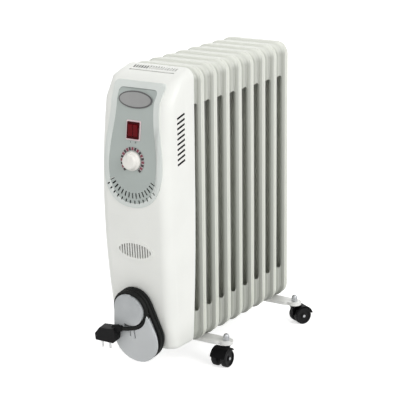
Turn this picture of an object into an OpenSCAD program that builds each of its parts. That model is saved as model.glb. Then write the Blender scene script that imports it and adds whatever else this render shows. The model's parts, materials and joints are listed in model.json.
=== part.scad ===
// Oil filled radiator heater: eight pressed steel fins, a moulded control housing with its
// switches and thermostat, a cord winder with its lead, and four twin-wheel casters.
// Millimetres. X is the width, -Y the control side, +Z up; the floor is z = 0.

/* [Fins] */
// Number of fins in the stack
fin_count = 8; // [4:1:8]
// Distance from one fin to the next
fin_pitch = 48; // [44:0.5:60]
// Width of a fin and of the control housing
fin_w = 165; // [150:1:200]
// Height of a fin
fin_h = 580; // [560:1:640]
// Depth of the folded rim of a fin
rim_d = 31; // [26:0.5:38]
// Thickness of the pressed sheet
sheet = 1.2; // [0.8:0.1:2]
// Outer radius of a fin's corners
fin_r = 28; // [22:1:40]
// Length of closed skirt above and below each air slot
skirt_end = 72; // [50:1:100]

/* [Oil hubs] */
// Outer diameter of the hub collars
hub_od = 40; // [38:1:44]
// Bore of the hub collars
hub_id = 34; // [28:1:36]
// Height of a hub's axis in from the end of the fin
hub_in = 60; // [50:1:90]

/* [Housing] */
// Depth of the control housing at its crown
case_d = 100.5; // [90:0.5:120]
// Wall of the moulded housing
case_wall = 2.5; // [2:0.1:3.5]
// Air gap between the housing and the first fin
case_gap = 18; // [17:0.5:24]
// Height of the crown of the bowed front above the foot of the fins
crown_up = 325; // [290:1:360]
// Bow radius of the front above the crown
bow_up = 1100; // [900:10:2000]
// Bow radius of the front below the crown
bow_low = 1700; // [1200:10:3000]
// Radius that narrows the housing towards its foot
taper_r = 5500; // [4500:100:9000]
// Plan radius of the two front corners
corner_r = 22; // [16:1:28]
// Slope of the housing's top, in degrees
top_slope = 19; // [14:1:24]

/* [Controls] */
// Distance of the bare oval plate below the top of the fins
badge_in = 55; // [52:0.5:60]
// Distance of the switch below the top of the fins
switch_in = 115; // [106:0.5:120]
// Distance of the thermostat knob below the top of the fins
knob_in = 176; // [172:0.5:186]
// Diameter of the thermostat knob
knob_d = 39; // [34:0.5:44]
// Diameter of the dial ring
dial_d = 56; // [50:0.5:60]
// Height of the oval vent grille above the foot of the fins
vent_up = 218; // [190:1:230]

/* [Cord winder] */
// Height of the winder's middle above the foot of the fins
winder_up = 68; // [63:1:85]
// Radius of the round upper hub
reel_r = 33; // [33:0.5:36]
// Radius of the lower lobe of the plate
lobe_r = 53; // [50:0.5:58]
// Diameter of the mains lead
cord_d = 8.4; // [6:0.1:8.6]

/* [Casters] */
// Diameter of a caster wheel
wheel_d = 38; // [34:1:40]
// Width of one wheel of a pair
wheel_w = 13; // [10:0.5:15]
// Distance of the caster stems out from the fins
stem_out = 35; // [30:1:45]
// Trail from the stem to the wheel axle
trail = 15; // [12:0.5:18]
// Height of the fins above the tops of the casters
stem_up = 9; // [9:0.5:14]

/* [Hidden] */
$fn = 48;
eps = 0.01;
seat = 0.2;             // gap between pieces that lie against each other
run = 0.05;             // radial running clearance of shafts and axles

// Heights
hood_rise = 5;          // caster's top above its wheels
hood_top = wheel_d + hood_rise;
fin_z = hood_top + stem_up;
fin_top = fin_z + fin_h;
crown_z = fin_z + crown_up;
vent_z = fin_z + vent_up;
winder_z = fin_z + winder_up;
badge_z = fin_top - badge_in;
switch_z = fin_top - switch_in;
knob_z = fin_top - knob_in;
hub_lo = fin_z + hub_in;
hub_hi = fin_top - hub_in;
top_rise = 1.3;         // housing top above the fins
foot_rise = 4;          // housing foot above the foot of the fins
case_top = fin_top + top_rise;
case_bot = fin_z + foot_rise;

// Housing form
case_w = fin_w;
top_r = 20;             // upper corners, seen from the front
foot_r = 14;            // lower edge all round
edge_soft = 8;          // softness of the edge between top and front
case_steps = 14;        // levels of the loft between its rounded ends
plate_gap = 0.2;        // play of the back plate in the housing
back_t = 2;             // back plate

// Cord winder, in its own plane: x across, v up, o out of the housing
reel_x = -6;
reel_v = 31.5;
lobe_x = 3;
lobe_v = -30;
layers = 3;             // turns of the lead that fit the groove side by side
groove = layers * cord_d + 2.3;
winder_t = 4.5;
winder_out = groove + winder_t;
wrap_gap = 0.6;         // play of the lead on the two bosses
boss_r = reel_r - 0.2;  // boss under the round reel
wrap_in = boss_r + wrap_gap;
lobe_in = lobe_r - 4 - cord_d / 2;
plate_rim = 3;          // rim of the plate beyond the round reel
plate_edge = 1.2;       // step round the plate's front edge

// A bowed front: how far a point of it lies behind the crown plane
function bow(z) =
    let (d = z - crown_z, r = d > 0 ? bow_up : bow_low)
    r - sqrt(r * r - d * d);

lean = asin((crown_z - winder_z) / bow_low);
plate_head = reel_v + reel_r + plate_rim - plate_edge;
reach = case_d - bow(winder_z) + winder_out * cos(lean) + plate_head * sin(lean);
fin_gap = fin_pitch - rim_d;
stack_d = (fin_count - 1) * fin_pitch + rim_d;
total_d = reach + case_gap + stack_d;
case_y = reach - total_d / 2;
fin_y = case_y + case_gap;

// Rounding at the end of the loft: set-in of the wall at h from the end
function dome(h, r) = h >= r ? 0 : r - sqrt(max(0, r * r - (r - h) * (r - h)));

function set_back(z, inset) =
    let (curve = bow(z) + inset + dome(z - case_bot - inset, foot_r - inset),
         slope = case_d - (case_top - z - inset / cos(top_slope)) / tan(top_slope))
    min(edge_soft * ln(exp(curve / edge_soft) + exp(slope / edge_soft)), case_d - 0.5);

function front_y(z, inset = 0) = case_y - case_d + set_back(z, inset);

function half_w(z, inset) =
    let (d = max(0, crown_z - z))
    case_w / 2 - inset - (taper_r - sqrt(taper_r * taper_r - d * d))
    - dome(case_top - inset - z, top_r - inset)
    - dome(z - case_bot - inset, foot_r - inset);

function arc(c, r, a0, a1, n = 8) =
    [for (i = [0:n]) let (a = a0 + (a1 - a0) * i / n) c + r * [cos(a), sin(a)]];

function plan(z, inset, rear) =
    let (w = half_w(z, inset), y0 = front_y(z, inset), y1 = case_y + rear,
         r = min(corner_r - inset, y1 - y0 - 0.2, w - 0.2))
    concat([[w, y1], [-w, y1]],
           arc([-w + r, y0 + r], r, 180, 270), arc([w - r, y0 + r], r, 270, 360));

function levels(inset) =
    let (lo = case_bot + inset, hi = case_top - inset, a = foot_r - inset, b = top_r - inset)
    concat([for (t = [0:22.5:67.5]) lo + a * (1 - cos(t))],
           [for (i = [0:case_steps]) lo + a + (hi - b - lo - a) * i / case_steps],
           [for (t = [67.5:-22.5:0]) hi - b * (1 - cos(t)) - eps]);

// The housing's outer form, grown or shrunk by inset, closed at its rear plane
module case_form(inset = 0, rear = 0) {
    hull()
        for (z = levels(inset))
            translate([0, 0, z])
                linear_extrude(eps)
                    polygon(plan(z, inset, rear));
}

// Puts a part drawn flat on the front of the housing at height z: its z points outwards
function tilt_at(z) = atan((front_y(z + 1) - front_y(z - 1)) / 2);
module on_front(z) {
    translate([0, front_y(z), z])
        rotate([90 - tilt_at(z), 0, 0])
            children();
}
module on_winder() {
    translate([0, case_y - case_d + bow(winder_z), winder_z])
        rotate([90 + lean, 0, 0])
            children();
}
// Stands a drawing up: its x is the width, its y the height, its z the depth to the rear
module upright(y = 0, z = 0) {
    translate([0, y, z])
        rotate([90, 0, 0])
            mirror([0, 0, 1])
                children();
}
module square_at(x, y, w, h) {
    translate([x, y])
        square([w, h], center = true);
}
module round_plate(w, h, r) {
    square([w - 2 * r, h], center = true);
    square([w, h - 2 * r], center = true);
    for (sx = [-1, 1], sy = [-1, 1])
        translate([sx * (w / 2 - r), sy * (h / 2 - r)])
            circle(r);
}
module oval(a, b) {
    polygon([for (t = [0:7.5:352.5]) [a * cos(t), b * sin(t)]]);
}

// ---------------------------------------------------------------- fins
rim_nose = 6;           // radius of the rim's front bead
rim_lip = 8;            // how far the front edge folds in
rim_waist = 13.5;       // depth of the groove behind that bead
rim_dip = 2.2;          // hollow of the groove
rim_crest = 20;         // depth of the second bead
rim_step = 1.2;         // how far the second bead lies below the first
crest_r = 3.6;
rim_drop = 7.5;         // fall of the rim behind the second bead
skirt_set = 4.6;        // skirt below the face of the rim
skirt_fall = 5.5;       // fall of the skirt's own front edge
skirt_play = 0.5;       // gap between a skirt and the fin before it
skirt_d = fin_gap - skirt_play;
web_y = rim_d / 2;
pad_w = 30;             // oil channels
pad_h = 5.5;
pad_top = 2;
channel_x = 46;

// Section of the rim: x is outwards from the fin's edge, y is depth
function rim_outline() =
    let (n = rim_nose, t = sheet, crest = [-rim_step - crest_r, rim_crest])
    concat([[-rim_lip, 0]], arc([-n, n], n, 270, 380, 5), [[-rim_dip, rim_waist]],
           arc(crest, crest_r, -30, 50, 3), [[-rim_drop, rim_d], [-rim_drop - t, rim_d]],
           arc(crest, crest_r - t, 50, -30, 3), [[-rim_dip - t, rim_waist]],
           arc([-n, n], n - t, 380, 270, 5), [[-rim_lip, t]]);
// Section of the skirt in front of the rim, falling away at its own front edge
function skirt_outline() =
    let (s = skirt_set, t = sheet, d = skirt_d)
    [[-s, t / 2], [-s, 7 - d], [-s - 1.8, 2.6 - d], [-s - skirt_fall, -d],
     [-s - skirt_fall - t / 2, t - d], [-s - 1.8 - t, 3.4 - d], [-s - t, 7.4 - d], [-s - t, t / 2]];

// Sweeps a section round the fin's outline
module round_the_fin() {
    w = fin_w / 2 - fin_r;
    h = fin_h / 2 - fin_r;
    for (q = [0:3]) {
        sx = q == 0 || q == 3 ? 1 : -1;
        sy = q < 2 ? 1 : -1;
        translate([sx * w, sy * h, 0])
            rotate([0, 0, 90 * q])
                rotate_extrude(angle = 90)
                    translate([fin_r, 0])
                        children();
        side = q % 2 == 0 ? h : w;
        out = q % 2 == 0 ? fin_w / 2 : fin_h / 2;
        rotate([0, 0, 90 * q])
            translate([out, side, 0])
                rotate([90, 0, 0])
                    linear_extrude(2 * side)
                        children();
    }
}
// Closed skirt over the top, round each corner and along the sides as far as the air slots
module skirts() {
    w = fin_w / 2 - fin_r;
    h = fin_h / 2 - fin_r;
    cut = skirt_d / 2 + 1;
    side = skirt_end - fin_r + cut;
    difference() {
        union() {
            for (q = [0:3])
                translate([(q == 0 || q == 3 ? 1 : -1) * w, (q < 2 ? 1 : -1) * h, 0])
                    rotate([0, 0, 90 * q])
                        rotate_extrude(angle = 90)
                            translate([fin_r, 0])
                                polygon(skirt_outline());
            for (q = [0, 2], end = [h, side - h])
                rotate([0, 0, 90 * q])
                    translate([fin_w / 2, end, 0])
                        rotate([90, 0, 0])
                            linear_extrude(side)
                                polygon(skirt_outline());
        }
        for (sx = [-1, 1], sy = [-1, 1])
            translate([sx * fin_w / 2, sy * (h - side), -skirt_d / 2])
                rotate([0, 90, 0])
                    cylinder(r = cut, h = 2 * fin_r, center = true);
    }
    rotate([0, 0, 90])
        translate([fin_h / 2, w, 0])
            rotate([90, 0, 0])
                linear_extrude(2 * w)
                    polygon(skirt_outline());
}
// Oil channels: two headers across the hubs and three uprights, or the oil's own space inside them
module channels(wall = 0) {
    for (layer = [[pad_w, pad_h], [pad_w - 8, pad_h + pad_top]])
        translate([0, 0, web_y - layer[1] + wall])
            linear_extrude(2 * (layer[1] - wall)) {
                for (x = [-channel_x, 0, channel_x])
                    square_at(x, 0, layer[0] - 2 * wall, fin_h - 2 * hub_in);
                for (sy = [-1, 1]) {
                    square_at(0, sy * (fin_h / 2 - hub_in), 2 * channel_x, layer[0] + 6 - 2 * wall);
                    for (sx = [-1, 1])
                        translate([sx * channel_x, sy * (fin_h / 2 - hub_in)])
                            circle(layer[0] / 2 + 3 - wall);
                }
            }
}
module fin(k) {
    front = k == 1 ? case_gap : fin_gap / 2;
    last = k == fin_count;
    rear = last ? web_y + pad_h + pad_top + 1 : rim_d + fin_gap / 2;
    color("gainsboro")
        upright(fin_y + (k - 1) * fin_pitch, fin_z + fin_h / 2)
            difference() {
                union() {
                    round_the_fin()
                        polygon(rim_outline());
                    skirts();
                    translate([0, 0, web_y - sheet])
                        linear_extrude(2 * sheet)
                            round_plate(fin_w - 3, fin_h - 3, fin_r - 1.5);
                    channels();
                    for (sy = [-1, 1])
                        translate([0, sy * (fin_h / 2 - hub_in), -front])
                            cylinder(d = hub_od, h = front + rear);
                }
                channels(sheet);
                for (sy = [-1, 1])
                    translate([0, sy * (fin_h / 2 - hub_in), -front - 1])
                        cylinder(d = hub_id, h = front + 1 + (last ? web_y + 4 : rear + 1));
            }
}

// ------------------------------------------------- hub closures and heater
stud_d = 6;
plug_len = 12;          // how far the closures reach into the hubs
rod_d = 8;              // heater rods
rod_x = 8;
nut_af = 10;
nut_h = 5;

module hex(af, h) {
    cylinder(d = af / cos(30), h = h, $fn = 6);
}
// Upper hub's front closure, with its stud through the back plate
module front_hub_cap() {
    color("silver")
        upright(case_y, hub_hi) {
            cylinder(d = hub_id - 2 * run, h = plug_len);
            translate([0, 0, -back_t - nut_h - 2])
                cylinder(d = stud_d, h = back_t + nut_h + 2.5);
        }
}
module hub_nut() {
    color("silver")
        upright(case_y - back_t - nut_h, hub_hi)
            difference() {
                hex(nut_af, nut_h);
                translate([0, 0, -1])
                    cylinder(d = stud_d + 2 * run, h = nut_h + 2);
            }
}
// Heater: hexagonal head, threaded body through the back plate, two rods in the oil, terminals
module heater_element() {
    rod_end = case_gap + (fin_count - 1) * fin_pitch - 6;
    color("silver")
        upright(case_y, hub_lo) {
            translate([0, 0, -back_t - 7])
                hex(hub_id + 4, 7);
            translate([0, 0, -back_t - 0.5])
                cylinder(d = hub_id - 2 * run, h = back_t + plug_len + 0.5);
            for (sx = [-1, 1]) {
                translate([sx * rod_x, 0, 0])
                    cylinder(d = rod_d, h = rod_end);
                translate([sx * rod_x, 0, -back_t - 17])
                    cylinder(d = 4, h = 11);
            }
            translate([0, 0, rod_end])
                rotate([90, 0, 0])
                    rotate_extrude(angle = 180)
                        translate([rod_x, 0])
                            circle(d = rod_d);
        }
}

// ---------------------------------------------------------------- housing
post_x = case_w / 2 - corner_r - 1;
post_z = [case_bot + 36, case_top - 62];
post_d = 9;
post_h = case_d - back_t - plate_gap;
screw_d = 3.5;
gland_x = 12;
gland_y = -49.4;        // from the housing's rear plane
gland_d = 12;
gland_bend = 9;
gland_turn = 50;        // way the elbow points, in degrees from straight across
lead_z = winder_z - 77.5; // height at which the lead leaves its gland
louver_count = 10;
louver_pitch = 10.4;
louver_z = fin_top - 180;
slot_w = 107;           // long slot in the top
slot_y = 26;
vent_a = 41;
vent_b = 17.5;

module back_plate() {
    edge = case_wall + plate_gap;
    top = case_top - case_wall / cos(top_slope) - back_t * tan(top_slope) - plate_gap;
    side = concat([for (z = levels(edge)) if (z < top) [half_w(z, edge), z]], [[half_w(top, edge), top]]);
    color("lightgray")
        difference() {
            upright(case_y - back_t)
                linear_extrude(back_t)
                    polygon(concat(side, [for (i = [len(side) - 1:-1:0]) [-side[i][0], side[i][1]]]));
            upright(case_y - back_t - 1, hub_lo)
                cylinder(d = hub_id, h = back_t + 2);
            upright(case_y - back_t - 1, hub_hi)
                cylinder(d = stud_d + 2 * run, h = back_t + 2);
            for (sx = [-1, 1], z = post_z)
                upright(case_y - back_t - 1)
                    translate([sx * post_x, z])
                        cylinder(d = screw_d + 0.4, h = back_t + 2);
        }
}
module louvers() {
    for (sx = [-1, 1], i = [0:louver_count - 1])
        translate([sx * case_w / 2, case_y - 48, louver_z + i * louver_pitch])
            rotate([14, 0, 0])
                cube([4 * case_wall, 27, 4.4], center = true);
}
module top_vents() {
    translate([0, case_y - slot_y, case_top - 8])
        cube([slot_w, 4, 30], center = true);
    for (i = [-8:8])
        translate([i * 6.2, case_y - 13, case_top])
            cube([3, 11, 24], center = true);
}
module dial_vents(r0, r1) {
    upright(case_y - case_d - 5, dial_z)
        difference() {
            intersection() {
                cylinder(r = r1, h = 40);
                translate([0, 0, -1])
                    linear_extrude(44)
                        polygon([[0, 0], [-r1 * 1.9, -r1], [0, -r1 * 1.6], [r1 * 1.9, -r1]]);
            }
            translate([0, 0, -1])
                cylinder(r = r0, h = 44);
        }
}
module front_cover() {
    color("whitesmoke")
        difference() {
            union() {
                difference() {
                    case_form();
                    case_form(case_wall, 2);
                }
                intersection() {
                    case_form(0.5);
                    for (sx = [-1, 1], z = post_z)
                        upright(case_y - case_d)
                            translate([sx * post_x, z])
                                difference() {
                                    cylinder(d = post_d, h = post_h);
                                    translate([0, 0, post_h - 18])
                                        cylinder(d = screw_d - 0.6, h = 20);
                                }
                }
            }
            louvers();
            top_vents();
            dial_vents(vent_r0 - 2, vent_r1 + 2);
            on_front(vent_z)
                translate([0, 0, -2 * case_wall])
                    linear_extrude(4 * case_wall)
                        oval(vent_a + 0.3, vent_b + 0.3);
            on_front(switch_z)
                translate([-switch_w / 2 - 0.3, -switch_h / 2 - 0.3, -2 * case_wall])
                    cube([switch_w + 0.6, switch_h + 0.6, 4 * case_wall]);
            on_front(knob_z)
                translate([0, 0, -2 * case_wall])
                    cylinder(d = shaft_d + 2, h = 4 * case_wall);
            translate([gland_x, case_y + gland_y, case_bot - 1])
                cylinder(d = gland_d + 0.4, h = case_wall + 3);
        }
}
module cover_screws() {
    color("silver")
        for (sx = [-1, 1], z = post_z)
            upright(case_y)
                translate([sx * post_x, z]) {
                    cylinder(d = 7, h = 2.4);
                    translate([0, 0, -back_t - 14])
                        cylinder(d = screw_d - 0.8, h = back_t + 14.5);
                }
}

// ---------------------------------------------------------------- control panel
panel_t = 2;            // border of the panel, proud of the housing
field_t = 1.2;          // its inner field
panel_r = 10;           // its upper corners
panel_top = fin_top - 22;
panel_foot = knob_z - 95;
belly_z = knob_z - 11;
belly_w = 70;
pinch_z = fin_top - 62;
pinch_w = 57;
collar_w = 62;
dial_z = knob_z - 15;   // centre of the radial vents
vent_r0 = 48;
vent_r1 = 72;
rib_count = 15;
shaft_d = 6;
switch_w = 25;
switch_h = 30;
badge_a = 40;
badge_b = 17.5;

// Half width of the panel's outline at height z, drawn in by the border's width
function panel_w(z, inset) =
    let (foot = panel_foot + inset * 0.7,
         u = min(1, max(0, (belly_z - z) / (belly_z - foot))),
         s = z < belly_z ? 0 : min(1, (z - belly_z) / (pinch_z - belly_z)),
         c = max(0, (z - pinch_z) / (panel_top - pinch_z)))
    (belly_w - inset) * pow(1 - pow(u, 2.3), 1 / 2.3)
    - (belly_w - pinch_w) * (1 - cos(180 * s)) / 2
    + (collar_w - pinch_w) * pow(c, 1.5);

module panel_outline(inset = 0, top = panel_top) {
    foot = panel_foot + inset * 0.7;
    zs = concat([for (t = [0:7.5:90]) belly_z - (belly_z - foot) * cos(t)],
                [for (i = [1:11]) belly_z + (top - panel_r - belly_z) * i / 12]);
    side = concat([for (z = zs) [panel_w(z, inset), z]],
                  [for (t = [0:15:90])
                      let (z = top - panel_r * (1 - sin(t)))
                      [panel_w(z, inset) - panel_r * (1 - cos(t)), z]]);
    polygon(concat(side, [for (i = [len(side) - 1:-1:1]) [-side[i][0], side[i][1]]]));
}
module control_panel() {
    color("lightsteelblue")
        difference() {
            intersection() {
                upright(case_y - case_d - 10)
                    linear_extrude(60)
                        panel_outline();
                case_form(-panel_t);
            }
            case_form();
            difference() {
                upright(case_y - case_d - 10)
                    linear_extrude(60)
                        panel_outline(13, panel_top - 12);
                case_form(-field_t);
            }
            for (i = [0:rib_count - 1])
                radial_slot(-62 + 124 * i / (rib_count - 1), vent_r0 + 2, 61);
            for (i = [1:rib_count - 2])
                radial_slot(-62 + 124 * (i - 0.5) / (rib_count - 1), 65, vent_r1);
            on_front(switch_z)
                translate([-switch_w / 2 - 0.3, -switch_h / 2 - 0.3, -5])
                    cube([switch_w + 0.6, switch_h + 0.6, 12]);
            on_front(knob_z)
                translate([0, 0, -5])
                    cylinder(d = shaft_d + 2, h = 12);
        }
}
module radial_slot(a, r0, r1) {
    upright(case_y - case_d - 8, dial_z)
        rotate([0, 0, a])
            translate([-1.5, -r1, 0])
                cube([3, r1 - r0, 30]);
}
module badge_oval() {
    color("gray")
        on_front(badge_z)
            translate([0, 0, field_t + run]) {
                linear_extrude(1.4)
                    oval(badge_a, badge_b);
                linear_extrude(2.2)
                    oval(badge_a - 3, badge_b - 3);
            }
}
module vent_grille() {
    color("whitesmoke")
        on_front(vent_z)
            difference() {
                union() {
                    translate([0, 0, run])
                        linear_extrude(1.3)
                            oval(vent_a + 4, vent_b + 4);
                    translate([0, 0, -case_wall])
                        linear_extrude(case_wall + 0.5)
                            oval(vent_a, vent_b);
                }
                intersection() {
                    translate([0, 0, -4])
                        linear_extrude(8)
                            oval(vent_a - 2, vent_b - 2);
                    for (i = [-6:6])
                        translate([i * 6.2 - 1.7, -vent_b, -5])
                            cube([3.4, 2 * vent_b, 10]);
                }
            }
}

// ---------------------------------------------------------------- switch and thermostat
bezel_t = 1.2;
flange_t = 1.6;
flange_w = 29;
flange_h = 34;
rocker_w = 10.6;
rocker_r = 12.6;
rocker_x = 6;
pivot_o = 0.8;
rock = 7;               // half of a rocker's travel, in degrees
pin_d = 2.4;
body_deep = 18;

module switch_bezel() {
    color("mistyrose")
        on_front(switch_z)
            translate([0, 0, field_t + run])
                linear_extrude(bezel_t)
                    difference() {
                        round_plate(flange_w + 6, flange_h + 6, 3);
                        square([switch_w + 0.4, switch_h + 0.4], center = true);
                    }
}
module switch_body() {
    top = field_t + bezel_t + 2 * run;
    color("darkred")
        on_front(switch_z)
            difference() {
                union() {
                    translate([0, 0, top])
                        linear_extrude(flange_t)
                            round_plate(flange_w, flange_h, 1.5);
                    translate([-switch_w / 2, -switch_h / 2, -body_deep])
                        cube([switch_w, switch_h, body_deep + top + eps]);
                    for (sx = [-1, 1])
                        translate([sx * 5, 0, -body_deep - 7])
                            cube([6, 1, 14.5], center = true);
                }
                for (sx = [-1, 1])
                    translate([sx * rocker_x - rocker_w / 2 - 0.2, -rocker_r - 0.4, -9])
                        cube([rocker_w + 0.4, 2 * rocker_r + 0.8, 30]);
                translate([-switch_w / 2 - 1, 0, pivot_o])
                    rotate([0, 90, 0])
                        cylinder(d = pin_d + 2 * run, h = switch_w + 2);
            }
}
// Rocker with its lower half pressed; its pins turn in the cheeks of the switch
module rocker(sx) {
    color("firebrick")
        on_front(switch_z)
            translate([sx * rocker_x, 0, pivot_o])
                rotate([rock, 0, 0]) {
                    rotate([90, 0, 90])
                        linear_extrude(rocker_w, center = true)
                            intersection() {
                                circle(rocker_r);
                                polygon([[-14, -6], [14, -6], [14, 5.2], [0, 3.4], [-14, 5.2]]);
                            }
                    rotate([0, 90, 0])
                        cylinder(d = pin_d, h = rocker_w + 1.2, center = true);
                }
}
module rocker_left() {
    rocker(-1);
}
module rocker_right() {
    rocker(1);
}
// Printed dial ring, open below the knob
module dial_ring() {
    color("darkslategray")
        on_front(knob_z)
            translate([0, 0, field_t + run])
                rotate([0, 0, -50])
                    rotate_extrude(angle = 280)
                        translate([knob_d / 2 + 2, 0])
                            square([(dial_d - knob_d) / 2 - 2, 0.6]);
}
knob_h = 15;
knob_lift = 0.5;
module knob() {
    color("snow")
        on_front(knob_z)
            translate([0, 0, field_t + knob_lift])
                difference() {
                    union() {
                        rotate_extrude()
                            polygon([[0, 0], [knob_d / 2, 0], [knob_d / 2, 4], [knob_d / 2 - 2.5, 6.5],
                                     [knob_d / 2 - 4, knob_h - 2], [knob_d / 2 - 6, knob_h], [0, knob_h]]);
                        translate([-2.5, 2, 3])
                            cube([5, knob_d / 2 - 3.5, knob_h - 2]);
                    }
                    translate([0, 0, -1])
                        cylinder(d = shaft_d, h = 10);
                    for (i = [0:11])
                        rotate([0, 0, 30 * i + 15])
                            translate([knob_d / 2 + 0.2, 0, 6.5])
                                cylinder(r = 3, h = knob_h);
                }
}
thermo_o = -case_wall - 0.4;
module thermostat_shaft() {
    color("silver")
        on_front(knob_z)
            translate([0, 0, thermo_o - 8])
                cylinder(d = shaft_d, h = 8 - thermo_o + field_t + knob_lift + 8.5);
}
module thermostat() {
    color("tan")
        on_front(knob_z)
            difference() {
                union() {
                    translate([-18, -14, thermo_o - 20])
                        cube([36, 28, 20]);
                    translate([-11, -21, thermo_o - 3])
                        cube([22, 42, 3]);
                    for (sx = [-1, 1])
                        translate([sx * 10 - 0.5, -9, thermo_o - 31])
                            cube([1, 6, 12]);
                }
                translate([0, 0, thermo_o - 9])
                    cylinder(d = shaft_d + 2 * run, h = 20);
            }
}
module terminal_block() {
    color("ivory")
        upright(case_y - back_t - 16)
            translate([0, hub_lo + 190])
                difference() {
                    translate([-24, -9, 0])
                        cube([48, 18, 16]);
                    for (i = [-1.5:1.5])
                        translate([i * 12, 0, -1])
                            cylinder(d = 6, h = 7);
                }
}
module thermal_cutout() {
    color("black")
        upright(case_y - back_t)
            translate([0, hub_hi - 170]) {
                translate([0, 0, -8])
                    cylinder(d = 18, h = 8);
                translate([-16, -4, -1.5])
                    cube([32, 8, 1.5]);
                for (sx = [-1, 1])
                    translate([sx * 4 - 0.4, -3, -18])
                        cube([0.8, 6, 10.5]);
            }
}

// ---------------------------------------------------------------- cord winder and lead
boss_wall = 3;
trough = wrap_in + cord_d + 0.7;    // outer radius of the crescent round the reel
tail_o = 2.5 * cord_d + 1.4;        // depth of the third turn
plug_o = winder_out + 14.5;

// Outline that wraps the round reel and the lobe with one tangent line on each side
function egg(r1, r2) =
    let (a = [reel_x, reel_v], b = [lobe_x, lobe_v], d = b - a,
         turn = atan2(d[1], d[0]), side = acos((r1 - r2) / norm(d)))
    concat(arc(a, r1, turn + side, turn - side + 360, 18), arc(b, r2, turn - side, turn + side, 20));

module winder_base() {
    color("gainsboro")
        difference() {
            on_winder()
                difference() {
                    translate([0, 0, -3]) {
                        translate([reel_x, reel_v])
                            cylinder(r = boss_r, h = groove + 3);
                        linear_extrude(groove + 3)
                            difference() {
                                polygon(egg(boss_r, lobe_in - wrap_gap));
                                translate([reel_x, reel_v])
                                    circle(trough);
                            }
                    }
                    translate([reel_x, reel_v, -7])
                        cylinder(r = boss_r - boss_wall, h = groove + 7 - boss_wall);
                    translate([0, 0, -7])
                        linear_extrude(groove + 7 - boss_wall)
                            difference() {
                                polygon(egg(boss_r - boss_wall, lobe_in - wrap_gap - boss_wall));
                                translate([reel_x, reel_v])
                                    circle(trough + boss_wall);
                            }
                }
            case_form();
        }
}
module winder_plate() {
    color("lightgray")
        on_winder()
            difference() {
                translate([0, 0, groove]) {
                    linear_extrude(winder_t - 1.5)
                        polygon(egg(reel_r + plate_rim, lobe_r));
                    linear_extrude(winder_t)
                        polygon(egg(reel_r + plate_rim - plate_edge, lobe_r - plate_edge));
                }
                translate([0, 0, groove - 1])
                    linear_extrude(winder_t + 3) {
                        polygon(concat(arc([reel_x, reel_v], trough, -115, 78, 22),
                                       arc([reel_x, reel_v], reel_r, 78, -115, 22)));
                        square_at(-8, -20, 2.6, 12);
                        square_at(3, -18, 3, 22);
                    }
            }
}
// A point of the winder's own frame in the part's frame
function at_winder(p) =
    [p[0],
     case_y - case_d + bow(winder_z) - p[1] * sin(lean) - p[2] * cos(lean),
     winder_z + p[1] * cos(lean) - p[2] * sin(lean)];

// Route of the lead from the gland to the first turn, [x, y from the rear plane, z from the winder]
lead_route = [[5.57, -57.06, -77.5], [4.93, -57.83, -77.5], [0.3, -63.2, -78.2],
              [-6.1, -69.3, -78.3], [-13.8, -74.5, -76]];
// Route of the tail from the last turn to the plug, [across, up, out] in the winder's frame
tail_start = [[-37.3, -58.5, 13], [-45.4, -39.3, 18.5], [-45.8, -22, 22], [-45, -3, 22.4], [-44.2, 18, 22.4]];
tail_end = [[-14.2, -6.1, 40.1], [-19.7, -6.1, 41.4]];
tail_climb = 120;       // radius of the tail's climb off the reel
tail_turn = [for (a = [176:-18:-94])
    let (r = wrap_in + cord_d / 2, along = max(0, -a) * PI / 180 * r)
    [reel_x + r * cos(a), reel_v + r * sin(a), tail_o + along * along / (2 * tail_climb)]];

// A round cord swept through the points of its route
module cord(route, d, sides = 10) {
    n = len(route);
    rings = [for (i = [0:n - 1])
        let (t = route[min(i + 1, n - 1)] - route[max(i - 1, 0)],
             u = cross(t, [0, 1, 0]) / norm(cross(t, [0, 1, 0])),
             w = cross(u, t) / norm(t))
        for (k = [0:sides - 1]) route[i] + d / 2 * (cos(360 * k / sides) * u + sin(360 * k / sides) * w)];
    faces = concat([[for (k = [0:sides - 1]) k]],
                   [for (i = [0:n - 2], k = [0:sides - 1])
                       let (m = (k + 1) % sides)
                       [i * sides + k, (i + 1) * sides + k, (i + 1) * sides + m, i * sides + m]],
                   [[for (k = [sides - 1:-1:0]) (n - 1) * sides + k]]);
    polyhedron(rings, faces);
}
module cord_lead() {
    color("black")
        cord([for (p = lead_route) p + [0, case_y, winder_z]], cord_d);
}
module cord_wrap() {
    color("black")
        on_winder()
            translate([0, 0, 0.3])
                linear_extrude(2 * cord_d + 0.8)
                    difference() {
                        polygon(egg(wrap_in + cord_d, lobe_in + cord_d));
                        polygon(egg(wrap_in, lobe_in));
                    }
}
module cord_tail() {
    color("black")
        cord([for (p = concat(tail_start, tail_turn, tail_end)) at_winder(p)], cord_d);
}
module cord_gland() {
    bend = gland_bend;
    color("black")
        translate([gland_x, case_y + gland_y, 0]) {
            translate([0, 0, lead_z + bend - eps])
                cylinder(d = gland_d, h = case_bot + case_wall + 4 - lead_z - bend);
            translate([0, 0, case_bot - 2 - run])
                cylinder(d = gland_d + 3, h = 2);
            translate([0, 0, case_bot + case_wall + 0.3])
                cylinder(d = gland_d + 3, h = 2);
            rotate([0, 0, gland_turn]) {
                translate([-bend, 0, lead_z + bend])
                    rotate([90, 0, 0])
                        rotate_extrude(angle = -90)
                            translate([bend, 0])
                                circle(d = gland_d);
                translate([-bend - 1, 0, lead_z])
                    rotate([0, 90, 0])
                        cylinder(d = gland_d, h = 1 + eps);
            }
        }
}

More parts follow.
